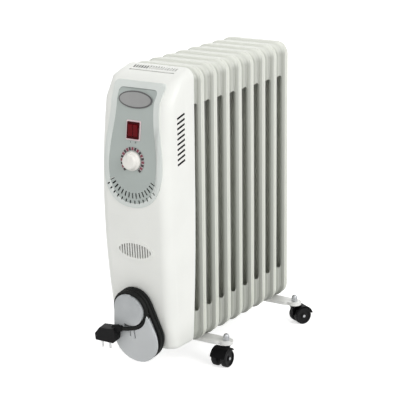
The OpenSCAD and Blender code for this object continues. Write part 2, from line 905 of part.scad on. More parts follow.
// Plug hanging in front of the winder, its pins down
plug_w = 21;
plug_left = -80;
plug_foot = -36;
pin_pitch = 19;
plug_pin_d = 4.8;
pin_len = 19;
tang_d = 4;             // the part of a pin held in the plug
module plug_body() {
    color("black")
        on_winder()
            translate([0, 0, plug_o - plug_w / 2]) {
                difference() {
                    translate([plug_left, plug_foot])
                        linear_extrude(plug_w)
                            polygon([[0, 0], [44, 0], [48, 4], [51, 22],
                                     [49, 35], [36, 32], [13, 30], [0, 15]]);
                    for (i = [0, 1])
                        translate([plug_left + 8.5 + i * pin_pitch, plug_foot - 1, plug_w / 2])
                            rotate([-90, 0, 0])
                                cylinder(d = tang_d + 2 * run, h = 13);
                }
                translate([plug_left + 40, plug_foot + 29.9, plug_w / 2])
                    rotate([0, 104, 0])
                        cylinder(d1 = 14, d2 = 11.5, h = 20.9);
            }
}
module plug_pins() {
    color("silver")
        on_winder()
            for (i = [0, 1])
                translate([plug_left + 8.5 + i * pin_pitch, plug_foot, plug_o]) {
                    rotate([90, 0, 0])
                        cylinder(d = plug_pin_d, h = pin_len);
                    rotate([-90, 0, 0])
                        translate([0, 0, -eps])
                            cylinder(d = tang_d, h = 12);
                }
}

// ---------------------------------------------------------------- feet
foot_w = 34;            // pressed channel under the fins
foot_h = 7.5;
foot_t = 2.5;
pad_r = 15;
stem_x = fin_w / 2 + stem_out;
stem_d = 8;
foot_top = fin_z - seat;
bolt_d = 6;
bolt_x = hub_od / 2 + bolt_d / 2 + 0.5;
foot_y = [fin_y + rim_d + fin_gap / 2, fin_y + (fin_count - 1) * fin_pitch - fin_gap / 2];

module foot_outline(inset) {
    square_at(0, 0, 2 * (stem_x - 22) - 2 * inset, foot_w - 2 * inset);
    square_at(0, 0, 2 * stem_x, 2 * pad_r - 4 - 2 * inset);
    for (sx = [-1, 1]) {
        translate([sx * stem_x, 0])
            circle(pad_r - inset);
        translate([sx * (stem_x - 22), 0])
            circle(foot_w / 2 - inset);
    }
}
module foot_bracket(y) {
    color("white")
        translate([0, y, foot_top - foot_h])
            difference() {
                linear_extrude(foot_h)
                    foot_outline(0);
                translate([0, 0, -1])
                    linear_extrude(foot_h - foot_t + 1)
                        foot_outline(foot_t);
                for (sx = [-1, 1]) {
                    translate([sx * stem_x, 0, -2])
                        cylinder(d = stem_d + 2 * run, h = foot_h + 4);
                    translate([sx * bolt_x, 0, -2])
                        cylinder(d = bolt_d + 2 * run, h = foot_h + 4);
                }
            }
}
module front_foot() {
    foot_bracket(foot_y[0]);
}
module rear_foot() {
    foot_bracket(foot_y[1]);
}
module u_bolts() {
    color("silver")
        for (y = foot_y)
            translate([0, y, hub_lo]) {
                rotate([90, 0, 0])
                    rotate_extrude(angle = 180)
                        translate([bolt_x, 0])
                            circle(d = bolt_d);
                for (sx = [-1, 1])
                    translate([sx * bolt_x, 0, foot_top - 14 - hub_lo])
                        cylinder(d = bolt_d, h = hub_lo - foot_top + 14 + eps);
            }
}
module wing_nuts() {
    color("silver")
        for (y = foot_y, sx = [-1, 1])
            translate([sx * bolt_x, y, foot_top - foot_t - 6 - run])
                difference() {
                    union() {
                        cylinder(d = 11, h = 6);
                        for (s = [-1, 1])
                            translate([s * 8, 0, -1.5])
                                cube([9, 2.4, 9], center = true);
                    }
                    translate([0, 0, -2])
                        cylinder(d = bolt_d + 2 * run, h = 10);
                }
}
module dome_nuts() {
    af = 13;
    color("silver")
        for (y = foot_y, sx = [-1, 1])
            translate([sx * stem_x, y, foot_top + run])
                difference() {
                    union() {
                        hex(af, 7);
                        translate([0, 0, 7])
                            cylinder(d = af - 1, h = 2);
                        translate([0, 0, 9])
                            intersection() {
                                sphere(d = af - 1);
                                cylinder(d = af, h = af);
                            }
                    }
                    translate([0, 0, -1])
                        cylinder(d = stem_d + 2 * run, h = 9);
                }
}

// ---------------------------------------------------------------- casters
collar_gap = 0.3;       // play between the stem's collar and the hood
hood_r = 3.8;           // fender over the wheel's radius
fender_t = 2.5;
web_w = 9.4;
wheel_gap = web_w + 0.6;
axle_d = 6;
pin_low = 6;            // lower part of the stem, in the hood
pin_deep = 16;
// Each caster: side, row, and the way it trails
caster_trail = [[-1, 0, -90], [1, 0, -90], [-1, 1, 120], [1, 1, 60]];

module at_caster(i) {
    c = caster_trail[i];
    translate([c[0] * stem_x, foot_y[c[1]], 0])
        rotate([0, 0, c[2]])
            children();
}
module caster_stems() {
    color("silver")
        for (i = [0:3])
            at_caster(i) {
                translate([0, 0, hood_top + collar_gap])
                    cylinder(d = 14, h = foot_top - foot_t - hood_top - collar_gap - run);
                translate([0, 0, hood_top])
                    cylinder(d = stem_d, h = foot_top + 7 - hood_top);
                translate([0, 0, hood_top - pin_deep])
                    cylinder(d = pin_low, h = pin_deep + 1);
            }
}
// Hood of a twin-wheel caster: middle web with the stem socket, and a fender over both wheels
module caster_hood(i) {
    r = wheel_d / 2;
    color("black")
        at_caster(i)
            difference() {
                union() {
                    translate([trail, 0, r])
                        rotate([90, 0, 0]) {
                            linear_extrude(web_w, center = true) {
                                circle(r - 4);
                                polygon([[-trail - 7, 3], [-trail - 8, hood_top - r], [2, hood_top - r - 2],
                                         [12, 8], [8, -6], [-8, -8]]);
                            }
                            rotate([0, 0, 12])
                                rotate_extrude(angle = 125)
                                    translate([r + hood_r - fender_t, -wheel_w - wheel_gap / 2])
                                        square([fender_t, 2 * wheel_w + wheel_gap]);
                        }
                    translate([0, 0, hood_top - 4])
                        cylinder(d = 18, h = 4);
                }
                translate([0, 0, hood_top - pin_deep - 2])
                    cylinder(d = pin_low + 2 * run, h = pin_deep + 5);
                translate([trail, 0, r])
                    rotate([90, 0, 0])
                        cylinder(d = axle_d + 2 * run, h = web_w + 2, center = true);
            }
}
module caster_axle(i) {
    color("silver")
        at_caster(i)
            translate([trail, 0, wheel_d / 2])
                rotate([90, 0, 0])
                    cylinder(d = axle_d, h = 2 * wheel_w + wheel_gap + 1, center = true);
}
module caster_wheel(i, s) {
    color("black")
        at_caster(i)
            translate([trail, s * (wheel_gap + wheel_w) / 2, wheel_d / 2])
                rotate([90, 0, 0])
                    rotate_extrude()
                        difference() {
                            translate([axle_d / 2 + run, -wheel_w / 2])
                                square([wheel_d / 2 - axle_d / 2 - run, wheel_w]);
                            for (m = [-1, 1])
                                translate([wheel_d / 2, m * wheel_w / 2])
                                    rotate([0, 0, 45])
                                        square(3, center = true);
                            translate([6, s > 0 ? -wheel_w / 2 - 1 : wheel_w / 2 - 2])
                                square([8, 3]);
                        }
}

for (k = [1:fin_count])
    fin(k);
front_hub_cap();
hub_nut();
heater_element();
back_plate();
front_cover();
cover_screws();
control_panel();
badge_oval();
vent_grille();
switch_bezel();
switch_body();
rocker_left();
rocker_right();
dial_ring();
knob();
thermostat_shaft();
thermostat();
terminal_block();
thermal_cutout();
winder_base();
winder_plate();
cord_gland();
cord_lead();
cord_wrap();
cord_tail();
plug_body();
plug_pins();
front_foot();
rear_foot();
u_bolts();
wing_nuts();
dome_nuts();
caster_stems();
for (i = [0:3]) {
    caster_hood(i);
    caster_axle(i);
    caster_wheel(i, -1);
    caster_wheel(i, 1);
}
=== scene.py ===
# Oil filled radiator heater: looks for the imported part
import json
import math

import bmesh
import bpy
from mathutils import Matrix, Vector

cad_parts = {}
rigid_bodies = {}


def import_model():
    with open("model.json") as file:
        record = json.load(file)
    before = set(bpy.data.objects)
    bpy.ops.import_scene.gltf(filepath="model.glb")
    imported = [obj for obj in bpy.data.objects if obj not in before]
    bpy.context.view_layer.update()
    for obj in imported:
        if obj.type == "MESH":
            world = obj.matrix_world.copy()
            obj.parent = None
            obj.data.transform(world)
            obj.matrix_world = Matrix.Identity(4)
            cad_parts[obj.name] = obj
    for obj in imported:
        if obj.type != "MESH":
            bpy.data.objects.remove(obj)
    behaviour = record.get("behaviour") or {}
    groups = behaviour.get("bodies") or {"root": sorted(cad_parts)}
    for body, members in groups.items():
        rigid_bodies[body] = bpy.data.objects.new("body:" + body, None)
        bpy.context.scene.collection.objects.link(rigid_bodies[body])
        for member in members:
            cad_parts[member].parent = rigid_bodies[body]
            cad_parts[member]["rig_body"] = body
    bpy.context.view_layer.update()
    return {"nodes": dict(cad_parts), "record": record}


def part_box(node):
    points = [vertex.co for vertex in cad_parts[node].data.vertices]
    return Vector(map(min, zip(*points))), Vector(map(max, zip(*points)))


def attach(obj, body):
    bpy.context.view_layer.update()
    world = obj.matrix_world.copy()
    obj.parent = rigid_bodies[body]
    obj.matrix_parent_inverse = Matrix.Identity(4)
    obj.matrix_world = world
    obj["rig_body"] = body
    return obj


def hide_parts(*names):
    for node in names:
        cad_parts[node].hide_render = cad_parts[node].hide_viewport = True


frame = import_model()
nodes = frame["nodes"]
mm = 0.001


# Shared tools
class Wire:  # a socket that takes part in Python arithmetic
    def __init__(self, graph, socket):
        self.graph = graph
        self.socket = socket

    def maths(self, operation, *values):
        return self.graph.add("ShaderNodeMath", {"operation": operation}, dict(enumerate(values)))

    def __add__(self, other):
        return self.maths("ADD", self, other)

    def __sub__(self, other):
        return self.maths("SUBTRACT", self, other)

    def __rsub__(self, other):
        return self.maths("SUBTRACT", other, self)

    def __mul__(self, other):
        return self.maths("MULTIPLY", self, other)

    def __truediv__(self, other):
        return self.maths("DIVIDE", self, other)

    __radd__ = __add__

    def atLeast(self, other):
        return self.maths("MAXIMUM", self, other)

    def atMost(self, other):
        return self.maths("MINIMUM", self, other)

    def size(self):
        return self.maths("ABSOLUTE", self)

    def rest(self):  # what is left over a whole number
        return self.maths("FRACT", self)

    def cosine(self):
        return self.maths("COSINE", self)

    def sine(self):
        return self.maths("SINE", self)

    def root(self):
        return self.maths("SQRT", self)

    def over(self, low, high):  # 0 below low, 1 above high, soft between
        return self.graph.add("ShaderNodeMapRange", {"interpolation_type": "SMOOTHSTEP"},
                              {"Value": self, "From Min": low, "From Max": high})


class Graph:  # one node tree, for a material or for geometry
    def __init__(self, tree):
        self.tree = tree

    def add(self, kind, settings=None, sockets=None, out=0):
        node = self.tree.nodes.new(kind)
        for name, value in (settings or {}).items():
            setattr(node, name, value)
        for name, value in (sockets or {}).items():
            self.plug(node.inputs[name], value)
        return Wire(self, node.outputs[out])

    def plug(self, socket, value):
        if isinstance(value, Wire):
            self.tree.links.new(value.socket, socket)
        elif value is not None:
            socket.default_value = value


def linear(red, green, blue):  # display colour, 0 to 255, to the shader's own values
    return tuple(((c / 255 + 0.055) / 1.055) ** 2.4 if c > 10 else c / 3294 for c in (red, green, blue))


class Finish(Graph):  # a material's graph with its coordinates and its shader
    def __init__(self, name):
        self.material = bpy.data.materials.new(name)
        self.material.use_nodes = True
        super().__init__(self.material.node_tree)
        self.shader = self.tree.nodes["Principled BSDF"]
        self.spot = self.add("ShaderNodeTexCoord", out="Object")

    def axis(self, index):
        return self.add("ShaderNodeSeparateXYZ", sockets={0: self.spot}, out=index)

    def noise(self, scale, detail):
        return self.add("ShaderNodeTexNoise", sockets={"Vector": self.spot, "Scale": scale,
                                                       "Detail": detail})

    def blend(self, mask, first, second):
        return self.add("ShaderNodeMix", {"data_type": "RGBA"},
                        {0: mask, 6: self.colour(first), 7: self.colour(second)}, out=2)

    def colour(self, value):
        return value if isinstance(value, Wire) else (*value, 1)

    def bump(self, height, strength, depth):
        return self.add("ShaderNodeBump", sockets={"Height": height, "Strength": strength,
                                                   "Distance": depth})

    def done(self, **sockets):
        for name, value in sockets.items():
            socket = self.shader.inputs[name.replace("_", " ")]
            self.plug(socket, value if isinstance(value, Wire) or socket.type != "RGBA" else (*value, 1))
        return self.material


class Former(Graph):  # a geometry tree with named sizes, and the plain mesh that it makes
    def __init__(self, name, sizes):
        self.sizes = sizes
        super().__init__(bpy.data.node_groups.new(name, "GeometryNodeTree"))
        sides = self.tree.interface
        sides.new_socket("Shape", in_out="INPUT", socket_type="NodeSocketGeometry")
        for label, value in sizes.items():
            kind = "NodeSocketInt" if isinstance(value, int) else "NodeSocketFloat"
            sides.new_socket(label, in_out="INPUT", socket_type=kind)
        sides.new_socket("Made", in_out="OUTPUT", socket_type="NodeSocketGeometry")
        self.given = self.tree.nodes.new("NodeGroupInput")
        self.result = self.tree.nodes.new("NodeGroupOutput")

    def size(self, label):
        return Wire(self, self.given.outputs[label])

    def vector(self, x=0.0, y=0.0, z=0.0):
        return self.add("ShaderNodeCombineXYZ", sockets={"X": x, "Y": y, "Z": z})

    def onPoints(self, points, shape, turn=None):
        return self.add("GeometryNodeInstanceOnPoints", sockets={"Points": points, "Instance": shape,
                                                                 "Rotation": turn})

    def plainMesh(self, shape, material, base=None):
        whole = self.add("GeometryNodeRealizeInstances", sockets={"Geometry": shape})
        coated = self.add("GeometryNodeSetMaterial", sockets={"Geometry": whole,
                                                              "Material": palette[material]})
        self.plug(self.result.inputs[0], coated)
        holder = bpy.data.objects.new("holder", base or bpy.data.meshes.new("start"))
        bpy.context.scene.collection.objects.link(holder)
        maker = holder.modifiers.new("maker", "NODES")
        maker.node_group = self.tree
        for side in self.tree.interface.items_tree:
            if side.name in self.sizes:
                maker[side.identifier] = self.sizes[side.name]
        view = bpy.context.evaluated_depsgraph_get()
        mesh = bpy.data.meshes.new_from_object(holder.evaluated_get(view), depsgraph=view)
        bpy.data.objects.remove(holder)
        return mesh


def addPiece(name, mesh, body, slot, *stoodFor):  # a finished mesh as a piece of the heater
    piece = bpy.data.objects.new(name, mesh)
    bpy.context.scene.collection.objects.link(piece)
    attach(piece, body)
    if stoodFor:
        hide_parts(*stoodFor)
    return piece


# Materials
# the groove, skirt, sideOnly and nearFloor sizes place the painted shade on the fins
fin = {
    "halfWidth": 0.0825, "halfHeight": 0.290, "corner": 0.028, "foot": 0.052, "pitch": 0.048, "rim": 0.031,
    "groove": (0.0115, 0.0135, 0.046, 0.0478),  # depths at which it starts and ends
    "skirt": (0.029, 0.032), "sideOnly": (0.0075, 0.011), "fadesIn": (0.35, 0.7), "nearFloor": 0.06,
}
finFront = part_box("fin_2")[1].y - fin["rim"]  # front of the second fin's rim
coat = {"Coat_Weight": 0.25, "Coat_Roughness": 0.12}


def finEnamel(name, high, low):  # powder coat with painted shade: darker in the groove, in the folds near the outline and towards the floor
    paint = Finish(name)
    top = fin["foot"] + 2 * fin["halfHeight"]
    across = paint.axis(0).size() - (fin["halfWidth"] - fin["corner"])
    upward = (paint.axis(2) - fin["foot"] - fin["halfHeight"]).size() - (fin["halfHeight"] - fin["corner"])
    corner = (across.atLeast(0) * across.atLeast(0) + upward.atLeast(0) * upward.atLeast(0)).root()
    sunk = fin["corner"] - corner - across.atLeast(upward).atMost(0)  # depth in from the fin's outline
    depth = ((paint.axis(1) - finFront) / fin["pitch"]).rest() * fin["pitch"]  # behind each fin's front
    groove = depth.over(*fin["groove"][:2]) * (1 - depth.over(*fin["groove"][2:]))
    skirt = depth.over(*fin["skirt"])
    side = 1 - paint.axis(2).over(top - fin["corner"], top - 0.002)
    side = side * (1 - sunk.over(*fin["sideOnly"]))
    height = paint.axis(2).over(fin["nearFloor"], top)
    cloud = paint.noise(9, 3)
    # painted shade: the fins go from the high colour at the top to the darker low colour near the floor,
    # under a random mottle
    mottleOverHeightTone = paint.blend(cloud.over(*fin["fadesIn"]) * 0.5, paint.blend(height, low, high),
                       [c * 0.93 for c in high])
    # painted shade: the groove band and skirt on the fins' sides, near the outline, stronger towards the
    # floor
    shade = groove * side * (0.72 + skirt * 0.2 - height * 0.3)
    paintedShadeCoat = paint.blend(shade, mottleOverHeightTone, [c * 0.42 for c in low])
    return paint.done(Base_Color=paintedShadeCoat, Roughness=0.3 + cloud * 0.1,
                      Normal=paint.bump(paint.noise(420, 2), 0.05, 0.0004), **coat)


def enamel(name, colour):
    paint = Finish(name)
    cloud = paint.noise(9, 3)
    tone = paint.blend(cloud.over(*fin["fadesIn"]), colour, [c * 0.93 for c in colour])
    return paint.done(Base_Color=tone, Roughness=0.3 + cloud * 0.1,
                      Normal=paint.bump(paint.noise(420, 2), 0.05, 0.0004), **coat)


def moulded(name, colour, roughness=0.38, grain=900, depth=0.08, tone=0.94, sheen=0.5):
    plastic = Finish(name)
    speck = plastic.noise(grain, 2)
    cloud = plastic.noise(12, 3)
    mixed = plastic.blend(cloud.over(0.3, 0.75), colour, [c * tone for c in colour])
    return plastic.done(Base_Color=mixed, Roughness=roughness + cloud * 0.08, Specular_IOR_Level=sheen,
                        Normal=plastic.bump(speck, depth, 0.0003))


def winderFinish(name, low, high):  # satin grey that darkens from the lobe up to the reel
    satin = Finish(name)
    cloud = satin.noise(12, 3)
    tone = satin.blend(satin.axis(2).over(0.105, 0.150), low, high)
    mottleOverHeightTone = satin.blend(cloud.over(0.3, 0.75), tone, [c * 0.93 for c in low])
    return satin.done(Base_Color=mottleOverHeightTone, Roughness=0.28 + cloud * 0.08,
                      Normal=satin.bump(satin.noise(700, 2), 0.06, 0.0003))


def metal(name, colour, roughness=0.3):
    steel = Finish(name)
    streak = steel.noise(60, 4)
    fine = steel.noise(1500, 2)
    mixed = steel.blend(streak, colour, [c * 0.75 for c in colour])
    return steel.done(Base_Color=mixed, Metallic=1.0, Roughness=roughness + streak * 0.15,
                      Normal=steel.bump(fine, 0.06, 0.0002))


def rubber(name, colour, roughness=0.55):
    skin = Finish(name)
    fine = skin.noise(700, 3)
    cloud = skin.noise(30, 2)
    mixed = skin.blend(cloud, colour, [c * 1.7 + 0.004 for c in colour])
    return skin.done(Base_Color=mixed, Roughness=roughness + cloud * 0.12, Specular_IOR_Level=0.15,
                     Normal=skin.bump(fine, 0.15, 0.0003))


palette = {
    # the fins' low colour near the floor, and its 0.42 share in the groove, are painted shade
    "finEnamel": finEnamel("finEnamel", linear(227, 229, 220), linear(212, 215, 204)),
    "footEnamel": enamel("footEnamel", linear(238, 238, 235)),
    "caseWhite": moulded("caseWhite", linear(243, 244, 239), 0.36, 1100, 0.06, 0.97),
    "panelEdge": moulded("panelEdge", linear(219, 224, 220), 0.3, 900, 0.05),
    "panelField": moulded("panelField", linear(175, 183, 179), 0.34, 900, 0.05),
    "badgeRing": moulded("badgeRing", linear(88, 88, 88), 0.28, 900, 0.05, 0.85),
    "badgeFace": moulded("badgeFace", linear(158, 158, 157), 0.26, 900, 0.05, 0.8),
    "bezelPale": moulded("bezelPale", linear(226, 206, 208), 0.4, 900, 0.05),
    "switchRed": moulded("switchRed", linear(66, 4, 10), 0.35, 600, 0.03, 0.8, 0.08),
    "rockerRed": moulded("rockerRed", linear(106, 8, 18), 0.3, 600, 0.03, 0.75, 0.1),
    "knobIvory": moulded("knobIvory", linear(240, 238, 232), 0.3, 900, 0.05, 0.95),
    "dialRing": moulded("dialRing", linear(196, 190, 190), 0.42, 900, 0.05, 0.95),
    "tickDark": moulded("tickDark", linear(48, 38, 42), 0.5, 900, 0.05, 0.8),
    "tickRed": moulded("tickRed", linear(126, 58, 72), 0.5, 900, 0.05, 0.8),
    "winderGrey": winderFinish("winderGrey", linear(203, 206, 207), linear(171, 175, 177)),
    # painted shade: dark grey on the housing's inner skin and on the walls of the slots below its top
    "caseInside": moulded("caseInside", linear(52, 54, 53), 0.6, 900, 0.05, 0.9, 0.1),
    "blackPlastic": moulded("blackPlastic", linear(11, 11, 12), 0.5, 800, 0.2, 0.7, 0.12),
    "casterBlack": moulded("casterBlack", linear(8, 8, 9), 0.45, 700, 0.12, 0.7, 0.08),
    "tyreBlack": rubber("tyreBlack", linear(14, 14, 15), 0.5),
    "cordBlack": rubber("cordBlack", linear(9, 10, 9), 0.5),
    "zincSteel": metal("zincSteel", linear(178, 180, 182), 0.32),
    "pinNickel": metal("pinNickel", linear(205, 205, 205), 0.2),
    "ceramicTan": moulded("ceramicTan", linear(215, 206, 188), 0.6, 500, 0.2),
}
print("materials made:", len(palette))


# Camera, lamps and floor
viewpoint = {"place": (1.729, -2.640, 1.197), "target": (-0.012, 0.031, 0.312), "lens": 139.05,
             "roll": -0.69, "sensor": 36, "farthest": 50}


def aimCamera(look):
    camera = bpy.data.objects.new("camera", bpy.data.cameras.new("camera"))
    bpy.context.scene.collection.objects.link(camera)
    camera.data.sensor_width = look["sensor"]
    camera.data.lens = look["lens"]
    camera.data.clip_end = look["farthest"]
    way = Vector(look["target"]) - Vector(look["place"])
    roll = Matrix.Rotation(math.radians(look["roll"]), 4, "Z")
    turn = way.to_track_quat("-Z", "Y").to_matrix().to_4x4() @ roll
    camera.matrix_world = Matrix.Translation(look["place"]) @ turn
    bpy.context.scene.camera = camera


lamps = {  # name: (direction it comes from, strength, softness in degrees)
    "sideSun": ((0.85, -0.15, 0.5), 1.58, 45),
    "frontFill": ((-0.2, -1.0, 0.3), 0.78, 70),
    "backFill": ((-0.5, 0.9, 0.5), 0.55, 70),
}
studio = {"sky": 0.49, "paperSeen": 0.9, "paperLit": 0.66, "glow": 0.6, "reach": 14}


def seenDirectly(graph):  # 1 where the camera, a reflection or glass looks at it
    path = graph.tree.nodes.new("ShaderNodeLightPath")
    seen = Wire(graph, path.outputs["Is Camera Ray"]).atLeast(Wire(graph, path.outputs["Is Glossy Ray"]))
    return seen.atLeast(Wire(graph, path.outputs["Is Transmission Ray"]))


def setLamps():
    scene = bpy.context.scene
    scene.view_settings.view_transform = "Standard"
    world = bpy.data.worlds.new("studio")
    world.use_nodes = True
    scene.world = world
    sky = Graph(world.node_tree)
    back = world.node_tree.nodes["Background"]
    sky.plug(back.inputs["Strength"], studio["sky"] + seenDirectly(sky) * (1 - studio["sky"]))
    back.inputs["Color"].default_value = (1, 1, 1, 1)
    for name, (way, strength, softness) in lamps.items():
        lamp = bpy.data.lights.new(name, "SUN")
        lamp.energy = strength
        lamp.angle = math.radians(softness)
        holder = bpy.data.objects.new(name, lamp)
        holder.matrix_world = Vector(way).to_track_quat("Z", "Y").to_matrix().to_4x4()
        scene.collection.objects.link(holder)


def layFloor():
    mesh = bpy.data.meshes.new("floor")
    reach = studio["reach"]
    corners = [(-reach, -reach, 0), (reach, -reach, 0), (reach, reach, 0), (-reach, reach, 0)]
    mesh.from_pydata(corners, [], [(0, 1, 2, 3)])
    floor = bpy.data.objects.new("floor", mesh)
    bpy.context.scene.collection.objects.link(floor)
    paper = Finish("floorPaper")
    seen = seenDirectly(paper)
    tone = paper.blend(seen, [studio["paperLit"]] * 3, [studio["paperSeen"]] * 3)
    mesh.materials.append(paper.done(Base_Color=tone, Roughness=0.9, Specular_IOR_Level=0.0,
                                     Emission_Color=(1, 1, 1), Emission_Strength=seen * studio["glow"],
                                     Normal=paper.bump(paper.noise(40, 3), 0.02, 0.0005)))


aimCamera(viewpoint)
setLamps()
layFloor()
print("camera, lamps and floor set")


# Mains lead
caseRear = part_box("back_plate")[1].y  # rear plane of the housing
lead = {
    "diameter": 0.0084,
    "winderHeight": 0.120, "crownHeight": 0.377, "bowRadius": 1.7, "caseDepth": 0.1005,
    "reel": (-6, 31.5, 37.6), "lobe": (3, -30, 49.0),  # across, up, radius of the lead's middle line
    "layer": 8.8, "firstLayer": 4.8, "spacing": 12,
    "start": [(5.57, -57.06, 42.5), (-2.9, -64.9, 42.9), (-12.3, -70.4, 44.5), (-21.9, -73.9, 48.2)],
    "joins": 226, "lobeFrom": 250, "lobeTo": -110,  # angles on the lobe
    "reelFrom": 176, "reelTo": -95, "reelStep": -18,  # angles of the last lap on the reel
    "lift": 120,  # radius of the tail's climb off the reel
    "end": [(-19.7, -6.1, 41.4)],
}


def atWinder(across, up, out):  # a point of the winder's own frame, in metres
    drop = lead["crownHeight"] - lead["winderHeight"]
    bow = lead["bowRadius"] - math.sqrt(lead["bowRadius"] ** 2 - drop ** 2)
    lean = math.asin(drop / lead["bowRadius"])
    up, out = up * mm, out * mm
    return Vector((across * mm,
                   caseRear - lead["caseDepth"] + bow - up * math.sin(lean) - out * math.cos(lean),
                   lead["winderHeight"] + up * math.cos(lean) - out * math.sin(lean)))


def windingAngle():  # where the straight runs leave the reel and the lobe
    across, up = lead["lobe"][0] - lead["reel"][0], lead["lobe"][1] - lead["reel"][1]
    apart = math.hypot(across, up)
    turn = math.degrees(math.atan2(up, across))
    side = math.degrees(math.acos((lead["reel"][2] - lead["lobe"][2]) / apart))
    return turn + side, turn - side + 360


def onRing(ring, angle, out):
    across, up, radius = ring
    turn = math.radians(angle)
    return atWinder(across + radius * math.cos(turn), up + radius * math.sin(turn), out)


def roundRing(ring, first, last, out, rise=0):  # evenly spaced, without the last point
    steps = max(2, round(ring[2] * math.radians(abs(last - first)) / lead["spacing"]))
    parts = [step / steps for step in range(steps)]
    return [onRing(ring, first + (last - first) * t, out + rise * t * t * (3 - 2 * t)) for t in parts]


def between(a, b, steps=5):
    return [a + (b - a) * (step / steps) for step in range(steps)]


def wound():  # two turns over the bosses and a third that leaves through the front of the plate
    right, left = windingAngle()
    reel, lobe = lead["reel"], lead["lobe"]
    points = []
    for turn in range(3):
        out = lead["firstLayer"] + turn * lead["layer"]
        points += roundRing(lobe, lead["lobeFrom"] if turn else lead["joins"], left, out)
        points += between(onRing(lobe, left, out), onRing(reel, left, out))
        if turn < 2:
            points += roundRing(reel, left, right, out)
            points += between(onRing(reel, right, out), onRing(lobe, right, out))
            points += roundRing(lobe, right, lead["lobeTo"], out, lead["layer"])
    for angle in range(lead["reelFrom"], lead["reelTo"], lead["reelStep"]):
        along = max(0, -math.radians(angle)) * reel[2]
        points.append(onRing(reel, angle, out + along ** 2 / (2 * lead["lift"])))
    return points + [atWinder(*p) for p in lead["end"]]


def smoothed(points, steps):  # one curve through all the points
    ends = [points[0] * 2 - points[1]] + points + [points[-1] * 2 - points[-2]]
    out = []
    for a, b, c, d in zip(ends, ends[1:], ends[2:], ends[3:]):
        for step in range(steps):
            t = step / steps
            out.append(0.5 * (2 * b + (c - a) * t + (2 * a - 5 * b + 4 * c - d) * t ** 2
                              + (3 * b - a - 3 * c + d) * t ** 3))
    return out + [points[-1]]


def lengthOf(points):
    return sum((b - a).length for a, b in zip(points, points[1:]))


def pathAlong(name, route):
    curve = bpy.data.curves.new(name, "CURVE")
    curve.dimensions = "3D"
    spline = curve.splines.new("POLY")
    spline.points.add(len(route) - 1)
    for point, place in zip(spline.points, route):
        point.co = (*place, 1)
    return curve


def makeLead():
    start = [Vector((x * mm, caseRear + y * mm, z * mm)) for x, y, z in lead["start"]]
    route = smoothed(start + wound(), 4)
    curve = pathAlong("mainsLead", route)
    curve.bevel_depth = lead["diameter"] / 2
    curve.bevel_resolution = 5
    curve.use_fill_caps = True
    curve.materials.append(palette["cordBlack"])
    piece = bpy.data.objects.new("mainsLead", curve)
    bpy.context.scene.collection.objects.link(piece)
    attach(piece, "radiator")
    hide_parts("cord_lead", "cord_wrap", "cord_tail")
    print("mains lead made, metres:", round(lengthOf(route), 3))
    return piece, route


mainsLead, leadRoute = makeLead()


# Ribbed sleeves where the lead leaves its gland and where it enters the plug
sleeves = {
    "glandRelief": {"Wide": 0.0063, "Narrow": 0.0048, "Rib": 0.0005, "Ribs": 6},
    "plugRelief": {"Wide": 0.0071, "Narrow": 0.0058, "Rib": 0.0006, "Ribs": 5},
}


def ribbedSleeve(name, route):  # tapers along its route, with a rounded rib at even steps
    form = Former(name, {**sleeves[name], "Rings": 8 * sleeves[name]["Ribs"] + 1})
    along = form.add("GeometryNodeSplineParameter")
    path = form.add("GeometryNodeResampleCurve",
                    sockets={"Curve": Wire(form, form.given.outputs["Shape"]), "Count": form.size("Rings")})
    wave = (along * form.size("Ribs") * (2 * math.pi)).cosine()
    taper = form.size("Wide") + (form.size("Narrow") - form.size("Wide")) * along
    ring = form.add("GeometryNodeCurvePrimitiveCircle", sockets={"Resolution": 28, "Radius": 1.0})
    skin = form.add("GeometryNodeCurveToMesh", sockets={"Curve": path, "Profile Curve": ring,
                                                        "Scale": taper - form.size("Rib") * wave,
                                                        "Fill Caps": True})
    mesh = form.plainMesh(skin, "blackPlastic", pathAlong(name, route))
    mesh.shade_smooth()
    mesh.set_sharp_from_angle(angle=math.radians(50))
    return addPiece(name, mesh, "radiator", "black_plastic")


def firstStretch(route, length):  # the start of a route, as far as the length reaches
    out = [route[0]]
    for place in route[1:]:
        out.append(place)
        if lengthOf(out) > length:
            break
    return out


ribbedSleeve("glandRelief", firstStretch(leadRoute, 0.023))
plugRelief = ribbedSleeve("plugRelief", [atWinder(-38.5, -6.1, 46.1), atWinder(-19.9, -6.1, 41.4)])
print("ribbed sleeves made:", len(sleeves))


# Finished copies of the CAD solids
slotOf = {entry["node"]: entry["material_slot"] for entry in frame["record"]["subparts"]}


def wholeMesh(node, *materials, isSecond=None):  # the node's loose triangles as one clean surface
    mesh = nodes[node].data.copy()
    mesh.materials.clear()
    for material in materials:
        mesh.materials.append(palette[material])
    shape = bmesh.new()
    shape.from_mesh(mesh)
    bmesh.ops.remove_doubles(shape, verts=shape.verts, dist=2e-6)
    for face in shape.faces:
        face.material_index = 1 if isSecond and isSecond(face.calc_center_median(), face.normal) else 0
    bmesh.ops.dissolve_limit(shape, angle_limit=math.radians(0.5), verts=shape.verts, edges=shape.edges,
                             delimit={"MATERIAL"})
    shape.to_mesh(mesh)
    shape.free()
    return mesh


def smoothSkin(mesh, angle):
    mesh.shade_smooth()
    mesh.set_sharp_from_angle(angle=math.radians(angle))


def finishNode(node, material, angle=32, soften=0):
    mesh = wholeMesh(node, material)
    smoothSkin(mesh, angle)
    piece = addPiece(node + "Finished", mesh, nodes[node]["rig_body"], slotOf[node], node)
    if soften:
        edge = piece.modifiers.new("soften", "BEVEL")
        edge.width = soften * mm
        edge.segments = 2
        edge.limit_method = "ANGLE"
        edge.angle_limit = math.radians(35)
        edge.harden_normals = True
    return piece


